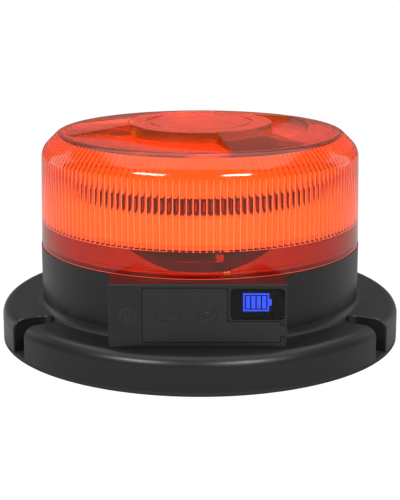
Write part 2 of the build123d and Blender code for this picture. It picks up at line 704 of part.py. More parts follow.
# ---------------------------------------------------------------- port flap
def flap_parts():
    """Rubber flap over the charging ports and the tail that holds it to the housing."""
    back = FACE_Y + FLAP_T
    sheet = front_plate(flap_outline(0), FACE_Y, back)
    depth = (FACE_Y - 1, back + 1)
    high = (FLAP_BOTTOM - 1, FLAP_TOP + 1)
    flap = sheet & block((FLAP_LEFT - 1, HINGE_X), depth, high)
    plug_end = PANEL_IN_Y - FIT
    half_w = USB_HALF_W
    half_h = USB_HALF_H
    plug = rounded((USB_X - half_w, USB_X + half_w), (PORT_Z - half_h, PORT_Z + half_h), half_h - 0.1)
    flap += front_plate(plug, back, plug_end)
    flap += pin_y(DC_PLUG_R, back, plug_end, DC_X, PORT_Z)
    tail = sheet & block((HINGE_X + HINGE_GAP, PANEL_RIGHT), depth, high)
    side = (PANEL_RIGHT - FLAP_T, PANEL_RIGHT)
    tail += block(side, (FACE_Y, FACE_Y + STRAP_WRAP), (STRAP_BOTTOM, STRAP_TOP))
    middle = (STRAP_BOTTOM + STRAP_TOP) / 2
    reach = SIDE_WALL - FLAP_T
    anchor = Rot(0, 90, 0) * Cylinder(ANCHOR_R, reach)
    tail += Pos(PANEL_RIGHT - FLAP_T - reach / 2, FACE_Y + STRAP_WRAP - 2, middle) * anchor
    return {"port_flap": flap, "port_flap_tail": tail}


# ---------------------------------------------------------------- light engine
def led_pedestal():
    """Aluminium heat sink: foot, column, plate and the core that the light ring wraps."""
    foot_top = HOUSING_TOP + FOOT_T
    bore = COLUMN_R - COLUMN_T
    corners = [
        (GROMMET_R + 2 * GROMMET_LIP, HOUSING_TOP),
        (FOOT_R, HOUSING_TOP),
        (FOOT_R, foot_top),
        (COLUMN_R, foot_top),
        (COLUMN_R, PLATE_TOP - PLATE_T),
        (PLATE_R, PLATE_TOP - PLATE_T),
        (PLATE_R, PLATE_TOP),
        (CORE_R, PLATE_TOP),
        (CORE_R, CORE_TOP),
        (CORE_BORE, CORE_TOP),
        (CORE_BORE, PLATE_TOP),
        (bore, PLATE_TOP),
        (bore, foot_top),
        (GROMMET_R + 2 * GROMMET_LIP, foot_top),
    ]
    body = turned_profile(corners)
    middle = (CORE_R + CORE_BORE) / 2
    for turn in THIRDS:
        at = polar(FOOT_SCREW_R, turn + 30)
        body -= rod(COVER_SCREW_R + FIT, HOUSING_TOP, foot_top, at)
        body -= rod(COVER_SCREW_R + SCREW_GAP, CORE_TOP - 6, CORE_TOP, polar(middle, turn))
    return body


def pedestal_screws():
    one = Rot(180, 0, 0) * screw(COVER_SCREW_HEAD_R, 2.0, COVER_SCREW_R, FOOT_T + DECK_T - FIT)
    top = HOUSING_TOP + FOOT_T
    return group([Pos(*polar(FOOT_SCREW_R, turn + 30), top) * one for turn in THIRDS])


def light_ring():
    """Ring board around the core, and the light chips that face outwards all round."""
    low = PLATE_TOP + MIRROR_T + TOUCH
    inner = CORE_R + TOUCH
    outer = inner + BOARD_RING_T
    board = rod(outer, low, CORE_TOP - TOUCH) - rod(inner, low, CORE_TOP - TOUCH)
    half = LED_SIZE / 2
    chip = block((outer, outer + LED_OUT), (-half, half), (LED_Z - half, LED_Z + half))
    lens = Pos(outer + LED_OUT, 0, LED_Z) * Rot(0, 90, 0) * Cone(half * 0.75, half * 0.4, 0.6)
    chip += Pos(0.3, 0, 0) * lens
    chips = [turned(chip, index * 360 / LED_COUNT) for index in range(LED_COUNT)]
    return {"led_ring_board": board, "led_chips": group(chips)}


def lower_reflector():
    top = PLATE_TOP + MIRROR_T
    end = FLUTE_Z + MIRROR_SKIN + 0.2
    fall = (top - end) / (MIRROR_R - MIRROR_IN)
    knee = MIRROR_IN - (MIRROR_SKIN - MIRROR_T) / fall
    return turned_profile([
        (CORE_R + TOUCH, PLATE_TOP),
        (knee, PLATE_TOP),
        (MIRROR_R, end - MIRROR_SKIN),
        (MIRROR_R, end),
        (MIRROR_IN, top),
        (CORE_R + TOUCH, top),
    ])


def upper_reflector():
    top = CORE_TOP + MIRROR_T
    edge = CORE_TOP - 1.6
    end = CHAMFER_SUM - MIRROR_R - 2.6
    start = CORE_R + 3.9
    shell = turned_profile([
        (0, CORE_TOP),
        (start - 1.6, CORE_TOP),
        (start - 0.9, edge),
        (start, edge),
        (MIRROR_R, end),
        (MIRROR_R, end + MIRROR_SKIN),
        (start + 2.6, top),
        (0, top),
    ])
    middle = (CORE_R + CORE_BORE) / 2
    for turn in THIRDS:
        shell -= rod(COVER_SCREW_R + FIT, CORE_TOP, top, polar(middle, turn))
    return shell


def reflector_screws():
    one = Rot(180, 0, 0) * screw(COVER_SCREW_HEAD_R, 2.0, COVER_SCREW_R, MIRROR_T + 5)
    middle = (CORE_R + CORE_BORE) / 2
    top = CORE_TOP + MIRROR_T
    return group([Pos(*polar(middle, turn), top) * one for turn in THIRDS])


def cable_grommet():
    lip = GROMMET_R + GROMMET_LIP
    return turned_profile([
        (GROMMET_BORE, DECK_UNDER - 0.7),
        (lip, DECK_UNDER - 0.7),
        (lip, DECK_UNDER),
        (GROMMET_R, DECK_UNDER),
        (GROMMET_R, HOUSING_TOP),
        (lip, HOUSING_TOP),
        (lip, HOUSING_TOP + 0.9),
        (GROMMET_BORE, HOUSING_TOP + 0.9),
    ])


# ---------------------------------------------------------------- lens
def fluted_core():
    """The space inside the fluted band: a ring of shallow arcs that bulge inwards."""
    step = 360 / FLUTE_COUNT
    arcs = []
    for index in range(FLUTE_COUNT):
        start = polar(LENS_IN, index * step)
        middle = polar(LENS_IN - FLUTE_DEPTH, (index + 0.5) * step)
        arcs.append(ThreePointArc(start, middle, polar(LENS_IN, (index + 1) * step)))
    face = make_face(Wire(arcs))
    return Pos(0, 0, FLUTE_Z) * extrude(face, FLUTE_TOP - FLUTE_Z)


def lens_dome():
    chamfer_low = LENS_TOP - LENS_CHAMFER
    outside = turned_profile(
        [
            (0, LENS_Z),
            (LENS_FOOT, LENS_Z),
            (SHOULDER_R, chamfer_low),
            (SHOULDER_R - LENS_CHAMFER, LENS_TOP),
            (0, LENS_TOP),
        ],
        [0, 0, LENS_SIDE_FILLET, LENS_TOP_FILLET, 0],
    )
    outside += rod(CROWN_R, LENS_TOP, LENS_TOP + CROWN_H)
    ramp = turned_profile(
        [
            (CROWN_R - 1, LENS_TOP - 1),
            (RAMP_R, LENS_TOP - 1),
            (RAMP_R, LENS_TOP),
            (CROWN_R, LENS_TOP + CROWN_H),
            (CROWN_R - 1, LENS_TOP + CROWN_H),
        ],
        arc=RAMP_BEARINGS[1] - RAMP_BEARINGS[0],
    )
    for turn in THIRDS:
        outside += turned(ramp, RAMP_BEARINGS[0] + turn)
    plain = rod(LENS_IN, LENS_Z, FLUTE_Z)
    roof = turned_profile([
        (0, FLUTE_TOP),
        (LENS_IN, FLUTE_TOP),
        (CHAMFER_SUM - CEILING, CEILING),
        (0, CEILING),
    ])
    lens = outside - plain - fluted_core() - roof
    for turn in THIRDS:
        lens += lock_ribs(turn)
    return lens


def lock_ribs(turn):
    """Thicker stretch of the rim with the ribs that the neck's lug locks behind."""
    skin = LENS_IN + 0.3
    face = LENS_IN - LOCK_PAD_T
    ribs = (face - RIB_IN, face + 0.1)
    heights = (LENS_Z + RIB_Z[0], LENS_Z + RIB_Z[1])

    def piece(r, z, bearings):
        return sector(r, z, (bearings[0] + turn, bearings[1] + turn))

    made = piece((face, skin), (LENS_Z, FLUTE_Z), LOCK_PAD)
    made += piece(ribs, heights, STOP_RIB)
    made += piece(ribs, heights, LOCK_RIB)
    return made + piece(ribs, (heights[0], FLUTE_Z), LOCK_WALL)


# ---------------------------------------------------------------- all nodes
parts = {
    "rubber_base_pad": rubber_base_pad(),
    "bottom_cover": bottom_cover(),
    "bottom_gasket": gasket_ring(COVER_TOP + GASKET_H, 0),
    "bottom_cover_screws": bottom_cover_screws(),
    **magnet_parts(),
    "base_housing": base_housing(),
    "lens_seal": lens_seal(),
    "battery_cells": battery_cells(),
    "battery_tray": battery_tray(),
    "battery_tabs": battery_tabs(),
    "battery_foam": battery_foam(),
    **leads(),
    "control_board": control_board(),
    "board_screws": board_screws(),
    "board_components": board_components(),
    "usb_c_shell": usb_c_shell(),
    "usb_c_tongue": usb_c_tongue(),
    "dc_jack_body": dc_jack_body(),
    "dc_jack_pin": dc_jack_pin(),
    **switch_parts(),
    **gauge_parts(),
    **flap_parts(),
    "led_pedestal": led_pedestal(),
    "pedestal_screws": pedestal_screws(),
    **light_ring(),
    "lower_reflector": lower_reflector(),
    "upper_reflector": upper_reflector(),
    "reflector_screws": reflector_screws(),
    "cable_grommet": cable_grommet(),
    "lens_dome": lens_dome(),
}

os.makedirs("parts", exist_ok=True)
for name, shape in parts.items():
    export_step(shape, f"parts/{name}.step")
print(len(parts), "nodes, overall", 2 * BASE_R, "x", LENS_TOP + CROWN_H)
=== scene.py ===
# %% [markdown]
# # A rechargeable LED beacon
# The beacon is a black drum on a wide mounting flange, under a tinted lens whose inner wall is
# fluted. The CAD model fixes every size and place, so this script only adds what CAD leaves
# plain: a glass lens with real flutes and painted glowing highlights at its edges, raised symbols
# on the rubber, and a finish for each piece. The first step loads the model.

import json
import math

import bmesh
import bpy
import numpy as np
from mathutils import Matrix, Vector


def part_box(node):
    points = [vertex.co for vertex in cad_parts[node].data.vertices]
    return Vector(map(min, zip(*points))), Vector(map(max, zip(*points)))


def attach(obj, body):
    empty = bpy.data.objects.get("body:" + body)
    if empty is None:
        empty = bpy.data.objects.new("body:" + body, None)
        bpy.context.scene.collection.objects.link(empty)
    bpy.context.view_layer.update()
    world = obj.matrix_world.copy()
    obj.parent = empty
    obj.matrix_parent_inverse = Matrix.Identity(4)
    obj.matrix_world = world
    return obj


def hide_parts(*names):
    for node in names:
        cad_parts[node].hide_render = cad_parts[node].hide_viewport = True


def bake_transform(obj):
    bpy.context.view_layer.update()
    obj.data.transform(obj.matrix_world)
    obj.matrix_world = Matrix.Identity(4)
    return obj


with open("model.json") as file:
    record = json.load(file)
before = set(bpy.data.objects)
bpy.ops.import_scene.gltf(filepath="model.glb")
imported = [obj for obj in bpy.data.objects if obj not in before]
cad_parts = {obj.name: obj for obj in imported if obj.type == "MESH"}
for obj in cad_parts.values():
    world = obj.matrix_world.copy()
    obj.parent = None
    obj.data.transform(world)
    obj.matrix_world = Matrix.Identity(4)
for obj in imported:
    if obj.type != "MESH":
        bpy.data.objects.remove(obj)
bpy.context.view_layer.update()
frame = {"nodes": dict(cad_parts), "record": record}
MM = 0.001

# %% [markdown]
# ## Camera
# A low view from half a metre shows the front panel and a narrow ellipse of the lens top. A
# small shift moves the picture without turning the camera, so the perspective stays the same.

# %% Camera
CAMERA_AT = (0.0, -0.5, 0.1603)
CAMERA_PITCH = 12.17
LENS_MM = 91.1
SHIFT_Y = -0.094

camera_data = bpy.data.cameras.new("camera")
camera_data.lens = LENS_MM
camera_data.sensor_width = 36
camera_data.shift_y = SHIFT_Y
camera_data.clip_start = 0.01
camera = bpy.data.objects.new("camera", camera_data)
camera.location = CAMERA_AT
camera.rotation_euler = (math.radians(90 - CAMERA_PITCH), 0, 0)
bpy.context.scene.collection.objects.link(camera)
bpy.context.scene.camera = camera
print("camera", CAMERA_AT, "pitch", CAMERA_PITCH)

# %% [markdown]
# ## Light
# Black plastic shows only what it mirrors, so its shape comes from large soft lights: one panel
# high on each side and a wide one overhead. The room itself is dim, because a bright room would
# turn the plastic grey. Only camera rays see it, and the floor, as a white backdrop.


# %% Soft lights
def soft_light(name, at, aim, size, power):
    """A rectangular area light at one point, turned to face another."""
    data = bpy.data.lights.new(name, "AREA")
    data.shape = "RECTANGLE"
    data.size, data.size_y = size
    data.energy = power
    lamp = bpy.data.objects.new(name, data)
    lamp.location = at
    way = np.array(aim) - np.array(at)
    yaw = math.atan2(way[1], way[0]) - math.pi / 2
    pitch = math.atan2(way[2], math.hypot(way[0], way[1])) + math.pi / 2
    lamp.rotation_euler = (pitch, 0, yaw)
    bpy.context.scene.collection.objects.link(lamp)
    return lamp


soft_light("left_panel", (-0.42, -0.54, 0.52), (0, 0, 0.06), (0.28, 0.14), 3.2)
soft_light("right_panel", (0.3, -0.58, 0.5), (0, 0, 0.06), (0.24, 0.12), 3.2)
soft_light("top_panel", (0, 0.15, 0.8), (0, 0, 0.05), (1.2, 0.9), 5.0)
soft_light("left_edge", (-0.7, 0.4, 0.12), (0, 0, 0.05), (0.3, 0.8), 0.7)
soft_light("right_edge", (0.7, 0.4, 0.12), (0, 0, 0.05), (0.3, 0.8), 0.7)

BACKDROP = 1.0
ROOM = 0.2
world = bpy.data.worlds.new("studio")
world.use_nodes = True
tree = world.node_tree
room = tree.nodes["Background"]
room.inputs["Color"].default_value = (1, 1, 1, 1)
path = tree.nodes.new("ShaderNodeLightPath")
level = tree.nodes.new("ShaderNodeMapRange")
level.inputs["To Min"].default_value = ROOM
level.inputs["To Max"].default_value = BACKDROP
tree.links.new(path.outputs["Is Camera Ray"], level.inputs["Value"])
tree.links.new(level.outputs["Result"], room.inputs["Strength"])
bpy.context.scene.world = world
bpy.context.scene.view_settings.view_transform = "Standard"

# %% [markdown]
# ## Shader maths as expressions
# A node tree is easier to read as a formula. `Value` wraps one socket: adding or multiplying
# two of them adds the Math node that does it. `Finish` owns a material and adds any other node.


# %% Value and Finish
class Value:
    """One output of a node. Sums, products and differences add Math nodes."""

    def __init__(self, finish, socket):
        self.finish = finish
        self.socket = socket

    def math(self, operation, *others):
        inputs = dict(enumerate((self, *others)))
        return self.finish.node("Math", {"operation": operation}, inputs)

    def __add__(self, other):
        return self.math("ADD", other)

    def __mul__(self, other):
        return self.math("MULTIPLY", other)

    def __sub__(self, other):
        return self.math("SUBTRACT", other)

    def __rsub__(self, other):
        return (self * -1.0) + other

    __radd__ = __add__
    __rmul__ = __mul__

    def step(self, low, high):
        """0 below low, 1 above high and a smooth rise between."""
        sockets = {"Value": self, "From Min": low, "From Max": high}
        return self.finish.node("MapRange", {"interpolation_type": "SMOOTHSTEP"}, sockets)

    def axis(self, index):
        """One part of a vector."""
        return self.finish.node("SeparateXYZ", {}, {"Vector": self}, out=index)


class Finish:
    """A material in the making, and the one method that adds nodes to it."""

    def __init__(self, name):
        self.material = bpy.data.materials.new(name)
        self.material.use_nodes = True
        self.tree = self.material.node_tree
        self.shader = self.tree.nodes["Principled BSDF"]
        self.surface = self.tree.nodes["Material Output"].inputs["Surface"]

    def feed(self, socket, value):
        if isinstance(value, Value):
            self.tree.links.new(value.socket, socket)
        elif isinstance(value, tuple) and socket.type == "RGBA":
            socket.default_value = (*value, 1)
        else:
            socket.default_value = value

    def node(self, kind, settings, sockets, out=0):
        """Adds a node: its settings first, then the values or links of its sockets."""
        made = self.tree.nodes.new("ShaderNode" + kind)
        for key, value in settings.items():
            setattr(made, key, value)
        for key, value in sockets.items():
            self.feed(made.inputs[key], value)
        return Value(self, made.outputs[out])

    def place(self):
        """Object coordinates, in metres."""
        return self.node("TexCoord", {}, {}, out="Object")

    def noise(self, scale, detail=2.0, stretch=(1, 1, 1)):
        """Cloudy values about 0.5, with blobs of 1 / scale metres."""
        where = self.node("Mapping", {}, {"Vector": self.place(), "Scale": stretch})
        return self.node("TexNoise", {}, {"Vector": where, "Scale": scale, "Detail": detail})

    def mix(self, share, first, second):
        """A colour between two colours."""
        return self.node("Mix", {"data_type": "RGBA"}, {0: share, 6: first, 7: second}, out=2)

    def bump(self, height, distance):
        return self.node("Bump", {}, {"Height": height, "Distance": distance})

    def set(self, **inputs):
        """Sets sockets of the main shader, whose names are written with underscores."""
        for key, value in inputs.items():
            self.feed(self.shader.inputs[key.replace("_", " ")], value)
        return self


def tint(colour, share):
    return tuple(min(1.0, share * part) for part in colour)


print("shader helpers ready")

# %% [markdown]
# ## Moulded plastic and rubber
# The housing is ABS from a finely sparked mould: black, satin, with a faint grain. Two noises do
# it: a coarse one drifts the gloss, as handling does, and a fine one is the grain. Rubber is the
# same mould texture with less gloss.


# %% Plastics and rubbers
def moulded(name, colour, rough, grain=0.00002, drift=0.08, pitch=0.0004):
    """Moulded surface: grain as bump, and colour and roughness that drift over the piece."""
    f = Finish(name)
    patch = f.noise(18, 3)
    fine = f.noise(1 / pitch, 2)
    shade = f.mix(patch, tint(colour, 0.85), tint(colour, 1.15))
    gloss = (patch - 0.5) * (2 * drift) + rough + (fine - 0.5) * 0.06
    return f.set(Base_Color=shade, Roughness=gloss, Normal=f.bump(fine, grain))


rubber = moulded("pad_rubber", (0.016, 0.016, 0.017), 0.62, 0.00005)
flap_rubber = moulded("flap_rubber", (0.011, 0.0115, 0.012), 0.46, 0.00003)
silicone = moulded("silicone", (0.2, 0.2, 0.21), 0.45)
component = moulded("component", (0.01, 0.01, 0.014), 0.5)
dark_board = moulded("dark_board", (0.05, 0.01, 0.008), 0.5)
green_board = moulded("green_board", (0.03, 0.2, 0.08), 0.3)
cell_wrap = moulded("cell_wrap", (0.05, 0.22, 0.5), 0.3)
foam = moulded("foam", (0.2, 0.2, 0.21), 0.9, 0.0002)
wire_cover = moulded("wire_cover", (0.35, 0.04, 0.04), 0.4)
ceramic = moulded("magnet_ceramic", (0.09, 0.09, 0.1), 0.55)
chip = moulded("led_chip", (0.3, 0.14, 0.05), 0.3)
print("rubbers and small parts ready")

# %% [markdown]
# ## The housing
# The drum and flange are satin black. The neck, which stands inside the lens, reads as a lighter
# brown through the tint, so painted light is laid on it here as a lighter grey. What makes it
# paler on the real object isn't known. A height mask tells the two apart, and faces that point
# up, such as the slanted front facet, keep the dark plastic, so the painted light goes by face
# direction.

# %% Housing finish
NECK_H = 9.7
DECK_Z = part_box("base_housing")[1][2] - NECK_H * MM
housing = moulded("black_abs", (0.011, 0.0113, 0.0122), 0.34)
neck_up = housing.place().axis(2).step(DECK_Z, DECK_Z + 0.3 * MM)
facing = housing.node("NewGeometry", {}, {}, out="Normal")
slanted = facing.axis(2).step(0.2, 0.5)
plastic = Value(housing, housing.shader.inputs["Base Color"].links[0].from_socket)
# Painted light: the neck's faces that don't point up turn a lighter grey.
neck_painted_light = housing.mix(neck_up * (1 - slanted), plastic, (0.28, 0.3, 0.26))
housing.set(Base_Color=neck_painted_light, Specular_IOR_Level=0.42)
print("deck at", round(DECK_Z / MM, 2), "mm")

# %% [markdown]
# ## Metals, light parts and the window
# Turned steel keeps fine rings, so its noise is stretched. The reflectors are white plastic, and
# a little emission on them is painted light: it stands for the glow of the light inside, though
# the reflectors are no lamp. The battery sign is a lit diffuser under a smoked window.


# %% Metals and lights
def metal(name, colour, rough, stretch=(1, 1, 40)):
    """Worked metal: fine lines one way, and slight stains."""
    f = Finish(name)
    lines = f.noise(900, 2, stretch)
    shade = f.mix(f.noise(60, 4), tint(colour, 0.8), colour)
    gloss = (lines - 0.5) * 0.2 + rough
    f.set(Metallic=1.0, Base_Color=shade, Roughness=gloss, Normal=f.bump(lines, 0.00001))
    return f


steel = metal("zinc_steel", (0.62, 0.62, 0.63), 0.3)
pot_steel = metal("pot_steel", (0.66, 0.66, 0.67), 0.28, (40, 40, 1))
aluminium = metal("aluminium", (0.6, 0.6, 0.62), 0.35)

white = moulded("reflector_white", (0.85, 0.85, 0.83), 0.35)
# Painted light: a warm emission makes the white reflectors glow.
white_painted_glow = white.mix(white.noise(30, 2), (1.0, 0.86, 0.7), (1.0, 0.97, 0.9))
white.set(Emission_Color=white_painted_glow, Emission_Strength=0.55)

blue = moulded("blue_light", (0.05, 0.08, 0.7), 0.4)
blue_glow = blue.mix(blue.noise(900, 1), (0.02, 0.06, 1.0), (0.05, 0.12, 1.0))
blue.set(Emission_Color=blue_glow, Emission_Strength=3.0)

window = moulded("smoked_window", (0.006, 0.006, 0.007), 0.14, 0.000001, 0.02)
window.set(Specular_IOR_Level=0.25)
gloss_black = Value(window, window.shader.outputs[0])
clear = window.node("BsdfTransparent", {}, {"Color": (1.0, 1.0, 1.0)})
window.feed(window.surface, window.node("MixShader", {}, {0: 0.6, 1: gloss_black, 2: clear}))
print("metals and lights ready")

# %% [markdown]
# ## The tinted lens
# The lens is one moulding of orange polycarbonate. Light leaves it mostly at its edges, so the
# flute cusps, the foot and the step inside show as bright lines, which are painted here as
# glowing highlights. It is made as one closed grid: each row is a ring from the middle of the
# top, over the outside, round the foot and back up the inside, and each column is a bearing round
# the axis.

# %% Lens columns
LOW, HIGH = (corner * 1000 for corner in map(np.array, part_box("lens_dome")))
LENS_FOOT_Z = LOW[2]
CROWN_Z = HIGH[2]
CROWN_H = 3.4
TOP_Z = CROWN_Z - CROWN_H
FOOT_R = HIGH[0]
SHOULDER_R = FOOT_R - 0.6
INNER_R = FOOT_R - 2.3
CEILING_Z = TOP_Z - 2.5
CROWN_R = 28.8
RAMP_R = 53.6
FLUTES = 160
FLUTE_DEEP = 0.5
CUSP_SHARE = 0.06
THIRD = 120.0
RAMP = (12.5, 48.0)
PAD = (-10.7, 13.2)
STOP_RIB = (-8.4, -0.3)
LOCK_RIB = (2.6, 10.3)
LOCK_WALL = (8.1, 10.3)


def bearings():
    """Column bearings in degrees: six to a flute, and a close pair at every steep edge."""
    share = np.array([0, 0.055, 0.25, 0.5, 0.75, 0.945])
    even = (np.arange(FLUTES)[:, None] + share).ravel() * (360 / FLUTES)
    edges = np.array([*RAMP, *PAD, *STOP_RIB, LOCK_RIB[0], *LOCK_WALL])
    pairs = (edges[:, None] + np.array([-0.02, 0.02])).ravel()
    turned = (pairs[:, None] + THIRD * np.arange(3)).ravel() % 360
    return np.sort(np.concatenate([even, turned]))


BEARING = bearings()
LOCAL = (BEARING + 60) % THIRD - 60
FLUTE_SHARE = (BEARING * FLUTES / 360) % 1
print("lens columns", len(BEARING))

# %% [markdown]
# The top has a raised crown with three ramps running out of it, for the thumb to turn. Between
# the ramps lie three sunk pockets. A pocket's outer edge is a spiral: it starts near the crown
# on one side of the sector and reaches the foot of the next ramp at the other.


# %% Lens rows
def between(low, high):
    """1 where the bearing in its third lies between two bearings, else 0."""
    return ((LOCAL > low) & (LOCAL < high)).astype(float)


def full(value):
    return np.full(len(BEARING), float(value))


def arc(centre_r, centre_z, radius, start, stop, count):
    """Rows on a quarter round: centre plus radius times cosine and sine of the angle."""
    for angle in np.radians(np.linspace(start, stop, count)):
        yield full(centre_r + radius * np.cos(angle)), full(centre_z + radius * np.sin(angle))


def pocket_edge():
    """Outer radius of a pocket: grows from 37.5 mm to 53.2 mm with the bearing in its sector."""
    along = ((BEARING - RAMP[1]) % THIRD) / (THIRD - (RAMP[1] - RAMP[0]))
    return 37.5 + 15.7 * np.clip(along, 0, 1) ** 1.6


def top_height(radius):
    """Ramps fall in a straight line to the rim; pockets are shallow dishes."""
    ramp = TOP_Z + CROWN_H * np.clip((RAMP_R - radius) / (RAMP_R - CROWN_R), 0, 1)
    share = np.clip((radius - CROWN_R) / (pocket_edge() - CROWN_R), 0, 1)
    dish = TOP_Z - 0.9 * np.sqrt(np.clip(1 - share**4, 0, 1)) * (share < 1)
    on_ramp = between(*RAMP)
    return on_ramp * ramp + (1 - on_ramp) * dish


def outside_rows():
    """Rings over the outside, from the middle of the crown down to the foot."""
    for radius, drop in ((2, 0), (8, 0), (14, 0), (19.6, 0), (20, 0.3), (21, 0.3), (21.4, 0)):
        yield full(radius), full(CROWN_Z - drop)
    for radius in (24.5, 27.6, 28.4):
        yield full(radius), full(CROWN_Z - 0.02 * max(0, radius - 27.5))
    yield full(28.7), full(CROWN_Z - 0.25)
    for share in (0.0, 0.01, 0.08, 0.25, 0.5, 0.75, 0.9, 0.97, 1.0, 1.02):
        edge = np.where(between(*RAMP) > 0, RAMP_R, pocket_edge())
        radius = 28.85 + share * (edge - 28.85)
        yield radius, top_height(radius)
    yield from arc(SHOULDER_R - 8.48, TOP_Z - 4.3, 4.3, 90, 45, 6)
    yield from arc(SHOULDER_R - 7, TOP_Z - 9.6, 7.0, 45, 0, 7)
    yield full(SHOULDER_R + 0.3), full(TOP_Z - 25)
    yield from arc(FOOT_R - 0.35, LENS_FOOT_Z + 0.35, 0.35, 0, -90, 4)


def inside_rows():
    """Rings up the inside: pads and ribs of the twist lock, the step, the flutes, the ceiling."""
    pad = INNER_R - 0.6 * between(*PAD)
    ribs = np.maximum(between(*STOP_RIB), between(*LOCK_RIB))
    wall = between(*LOCK_WALL)
    yield pad, full(LENS_FOOT_Z)
    for height, high_part in ((41.28, wall), (41.32, ribs), (44.08, ribs), (44.12, wall)):
        yield pad - 1.3 * high_part, full(height)
    yield pad - 1.3 * wall, full(47.78)
    flute = INNER_R - FLUTE_DEEP * (1 - (2 * FLUTE_SHARE - 1) ** 2)
    for height in (47.8, 48.4, 54, 60, 66, 70, 72.8, 73.96):
        yield flute, full(height)
    for radius in (55.364, 40, 20, 2):
        yield full(radius), full(CEILING_Z)


print("lens height", round(CROWN_Z - LENS_FOOT_Z, 2), "mm")


# %% [markdown]
# Glass and two painted glows are material slots of one mesh. Faces beside a flute's cusp, and the
# rows at the foot and at the step, take a glow as a painted highlight, because there the real
# edge gathers the light.


# %% Build the lens
def closed_grid(name, rows):
    """Joins rings into a surface: quads between rows, and a fan onto a pole at each end."""
    radius, height = (np.array(part) for part in zip(*rows))
    angle = np.radians(BEARING)
    ring = np.stack([radius * np.sin(angle), -radius * np.cos(angle), height], -1)
    count, columns = radius.shape
    poles = [[0, 0, height[0].mean()], [0, 0, height[-1].mean()]]
    points = np.concatenate([ring.reshape(-1, 3), poles]) * MM
    first = np.arange((count - 1) * columns).reshape(count - 1, columns)
    after = np.roll(first, -1, axis=1)
    quads = np.stack([first, first + columns, after + columns, after], -1).reshape(-1, 4)
    top, bottom = count * columns, count * columns + 1
    index = np.arange(columns)
    last = index + (count - 1) * columns
    cap = np.stack([np.full(columns, top), index, np.roll(index, -1)], -1)
    floor_cap = np.stack([last, np.full(columns, bottom), np.roll(last, -1)], -1)
    mesh = bpy.data.meshes.new(name)
    mesh.from_pydata(points.tolist(), [], [*quads.tolist(), *cap.tolist(), *floor_cap.tolist()])
    piece = bpy.data.objects.new(name, mesh)
    bpy.context.scene.collection.objects.link(piece)
    return piece


def smooth(piece, degrees):
    """Smooth shading, with a hard edge wherever faces meet at more than an angle."""
    piece.data.shade_smooth()
    piece.data.set_sharp_from_angle(angle=math.radians(degrees))
    return piece


OUTSIDE = list(outside_rows())
INSIDE = list(inside_rows())
lens = smooth(closed_grid("tinted_lens", OUTSIDE + INSIDE), 25)
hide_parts("lens_dome")
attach(lens, "lens")
print("lens faces", len(lens.data.polygons), "rows", len(OUTSIDE) + len(INSIDE))


# %% Choose the glowing faces
def painted_glow_faces():
    """Slot 1 for the painted glow on the flute cusps and the step inside, 2 for the painted glow
    on the foot, and 0 for the glass.
    """
    rows = len(OUTSIDE) + len(INSIDE)
    columns = len(BEARING)
    row = np.arange(rows - 1)[:, None] * np.ones(columns, int)
    inner = row - len(OUTSIDE)
    cusp = np.minimum(FLUTE_SHARE, 1 - FLUTE_SHARE) < CUSP_SHARE
    flute_rows = (inner >= 6) & (inner < 13)
    lines = (flute_rows & cusp & np.roll(cusp, -1)) | (inner == 5)
    rim = (row >= len(OUTSIDE) - 4) & (row <= len(OUTSIDE) - 2)
    slot = lines * 1 + rim * 2
    return np.concatenate([slot.ravel(), np.zeros(2 * columns, int)]).astype(np.int32)


slots = painted_glow_faces()
print("glowing faces", int((slots > 0).sum()))

# %% [markdown]
# The glass is a Principled surface with full transmission. Shadows would make the inside black,
# so for shadow rays it turns into a tinted window that lets light through to the reflectors.

# %% Lens finishes
amber = Finish("amber_lens")
drift = amber.noise(25, 2)
deep = amber.mix(drift, (1.0, 0.125, 0.012), (1.0, 0.15, 0.018))
height = amber.place().axis(2)
frosted = height.step(76 * MM, 82 * MM) * 0.1 + height.step(47.5 * MM, 48 * MM) * 0.06
amber.set(Base_Color=deep, Roughness=drift * 0.03 + 0.02 + frosted)
amber.set(Transmission_Weight=1.0, IOR=1.49, Specular_IOR_Level=0.3)
tinted = amber.node("BsdfTransparent", {}, {"Color": (1.0, 0.36, 0.12)})
ray = amber.node("LightPath", {}, {}, out="Is Shadow Ray")
glass = Value(amber, amber.shader.outputs[0])
both = amber.node("MixShader", {}, {0: ray, 1: glass, 2: tinted})
amber.feed(amber.surface, both)

# Painted highlight: emission makes the foot of the lens glow.
edge_painted_glow = moulded("edge_painted_glow", (0.6, 0.06, 0.04), 0.3)
edge_shade = edge_painted_glow.mix(edge_painted_glow.noise(300, 2), (1.0, 0.06, 0.04), (1.0, 0.1, 0.06))
edge_painted_glow.set(Emission_Color=edge_shade, Emission_Strength=0.7)

# Painted highlight: emission makes the flute cusps and the inner step glow.
cusp_painted_glow = moulded("cusp_painted_glow", (1.0, 0.6, 0.5), 0.3)
cusp_shade = cusp_painted_glow.mix(cusp_painted_glow.noise(300, 2), (1.0, 0.4, 0.5), (1.0, 0.55, 0.7))
cusp_painted_glow.set(Emission_Color=cusp_shade, Emission_Strength=0.95)

lens.data.materials.append(amber.material)
lens.data.materials.append(cusp_painted_glow.material)
lens.data.materials.append(edge_painted_glow.material)
lens.data.polygons.foreach_set("material_index", slots)
print("lens materials", [m.name for m in lens.data.materials])

# %% [markdown]
# ## Finishes on the CAD pieces
# The record names a material slot for every piece, so one table dresses the whole model.

